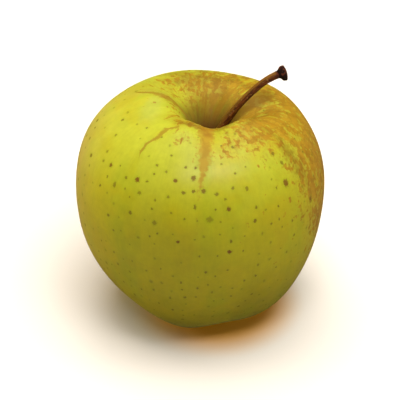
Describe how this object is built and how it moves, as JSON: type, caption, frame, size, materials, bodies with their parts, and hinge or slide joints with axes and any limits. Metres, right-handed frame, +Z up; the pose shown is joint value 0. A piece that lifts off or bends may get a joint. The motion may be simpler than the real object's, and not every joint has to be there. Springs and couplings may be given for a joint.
{
  "type": "whole apple",
  "caption": "Whole yellow-green apple with a brown russet patch and streak, a deep stalk cavity, a curved stalk and a dried calyx.",
  "frame": {"origin": "on the surface the apple stands on, under the middle of the fruit's outline", "axes": "+Z up through the core, from calyx to stalk; +X to the right and +Y away, seen from the side with the long russet streak; the stalk leans towards +X"},
  "size_m": [0.0741, 0.0728, 0.0807],
  "materials": {
    "apple_skin": "smooth waxy skin with a soft sheen, yellow-green with russet patches and small brown dots",
    "stalk_bark": "dry reddish brown bark, nearly black at the end pad",
    "dried_sepal": "dry, dark maroon brown with pale fuzz"
  },
  "bodies": {
    "root": {"fruit": "apple_skin", "stalk": "stalk_bark", "calyx": "dried_sepal"}
  },
  "joints": []
}
